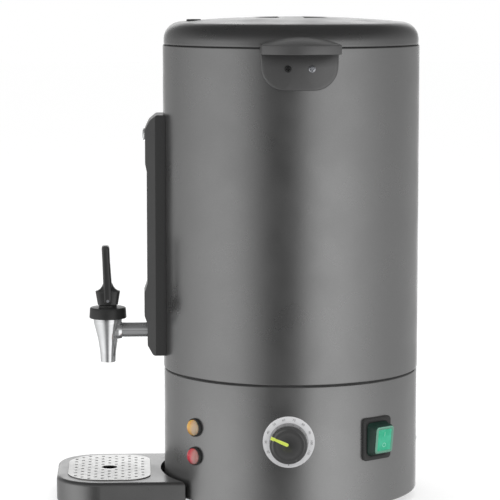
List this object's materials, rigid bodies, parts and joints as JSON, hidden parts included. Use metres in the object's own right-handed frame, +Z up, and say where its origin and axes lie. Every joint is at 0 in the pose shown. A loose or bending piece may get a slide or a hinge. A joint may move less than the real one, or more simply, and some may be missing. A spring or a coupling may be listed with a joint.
{
  "type": "hot water urn",
  "caption": "Upright cylindrical electric hot water urn with a lift-off lid, side handles, lever tap under a level gauge, dial, lamps, covered rocker switch and a slide-out drip tray.",
  "frame": {"origin": "on the surface the urn stands on, on the upright axis of its shell", "axes": "+Z up along the shell's axis, -Y towards the tap and the drip tray, +X towards the handle beside the dial"},
  "size_m": [0.357, 0.3853, 0.5045],
  "materials": {
    "grey_paint": "satin dark grey metallic paint",
    "black_plastic": "fine textured black moulding",
    "black_rubber": "matt",
    "stainless_steel": "brushed",
    "zinc_steel": "zinc plated",
    "bare_aluminium": "cast and machined",
    "printed_silver": "satin with printed numbers",
    "lime_plastic": "bright inlay",
    "copper": "bare copper",
    "amber_plastic": "translucent",
    "red_plastic": "translucent",
    "green_plastic": "translucent",
    "brass": "machined",
    "chrome_plate": "polished",
    "cream_plastic": "moulded",
    "lead_sleeve": "heat-proof sleeve",
    "white_silicone": "moulded silicone",
    "clear_glass": "clear"
  },
  "bodies": {
    "urn": {"base_housing": "grey_paint", "base_plate": "zinc_steel", "capillary_bulb": "copper", "cutout_body": "black_plastic", "cutout_collar": "chrome_plate", "dial_plate": "printed_silver", "element_clamp": "zinc_steel", "foot_screws": "zinc_steel", "gauge_bracket": "zinc_steel", "gauge_cap_screw": "chrome_plate", "gauge_glass": "clear_glass", "gauge_housing": "black_plastic", "gauge_lower_seal": "white_silicone", "gauge_top_cap": "white_silicone", "handle_left": "black_plastic", "handle_right": "black_plastic", "handle_screws": "chrome_plate", "heat_plate": "bare_aluminium", "heating_element": "stainless_steel", "hex_nuts": "zinc_steel", "inlet_pins": "brass", "inlet_screws": "zinc_steel", "inner_tank": "stainless_steel", "outer_shell": "grey_paint", "power_inlet": "black_plastic", "power_lamp_body": "black_plastic", "power_lamp_lens": "red_plastic", "ready_lamp_body": "black_plastic", "ready_lamp_lens": "amber_plastic", "rubber_foot": "black_rubber", "seam_gasket": "black_rubber", "shank_nut": "brass", "shank_washers": "white_silicone", "switch_cover": "green_plastic", "switch_frame": "black_plastic", "tap_body": "chrome_plate", "tap_bonnet": "black_plastic", "tap_shank": "chrome_plate", "tap_spring": "zinc_steel", "terminal_block": "cream_plastic", "thermostat_body": "black_plastic", "thermostat_screws": "zinc_steel", "tie_rods": "zinc_steel", "wiring_leads": "lead_sleeve"},
    "lid": {"lid": "grey_paint", "lid_pan": "stainless_steel", "lid_seal": "white_silicone", "lid_cup": "black_plastic", "steam_vent": "black_plastic"},
    "knob": {"thermostat_knob": "black_plastic", "knob_pointer": "lime_plastic", "thermostat_shaft": "zinc_steel"},
    "rocker": {"switch_rocker": "green_plastic"},
    "button": {"reset_button": "red_plastic"},
    "valve": {"tap_stem": "zinc_steel", "seat_cup": "white_silicone"},
    "lever": {"tap_lever": "black_plastic", "lever_pin": "zinc_steel"},
    "tray": {"drip_tray": "grey_paint"},
    "grate": {"drip_grate": "stainless_steel"}
  },
  "joints": [
    {"name": "lid_lift", "type": "slide", "parent": "urn", "child": "lid", "axis": [0, 0, 1], "range_m": [0, 0.08]},
    {"name": "knob_turn", "type": "hinge", "parent": "urn", "child": "knob", "pos_m": [0.13361, -0.01028, 0.0798], "axis": [0.9971, -0.0767, 0], "range_deg": [-183.5, 113.5]},
    {"name": "rocker_tilt", "type": "hinge", "parent": "urn", "child": "rocker", "pos_m": [0.10713, 0.08132, 0.078], "axis": [0.6046, -0.7965, 0], "range_deg": [0, 18]},
    {"name": "button_push", "type": "slide", "parent": "urn", "child": "button", "axis": [0.7431, -0.6691, 0], "range_m": [0, 0.0015], "stiffness_N_per_m": 600},
    {"name": "valve_lift", "type": "slide", "parent": "urn", "child": "valve", "axis": [0, 0, 1], "range_m": [0, 0.0056], "deforming": ["tap_spring"]},
    {"name": "lever_tilt", "type": "hinge", "parent": "valve", "child": "lever", "pos_m": [0, -0.1928, 0.207], "axis": [1, 0, 0], "range_deg": [0, 26], "stiffness_Nm_per_rad": 0.5},
    {"name": "tray_slide", "type": "slide", "parent": "urn", "child": "tray", "axis": [0, -1, 0], "range_m": [0, 0.12]},
    {"name": "grate_lift", "type": "slide", "parent": "tray", "child": "grate", "axis": [0, 0, 1], "range_m": [0, 0.04]}
  ],
  "couplings": [
    {"joint": "valve_lift", "follows": "lever_tilt", "m_per_rad": 0.01212}
  ]
}
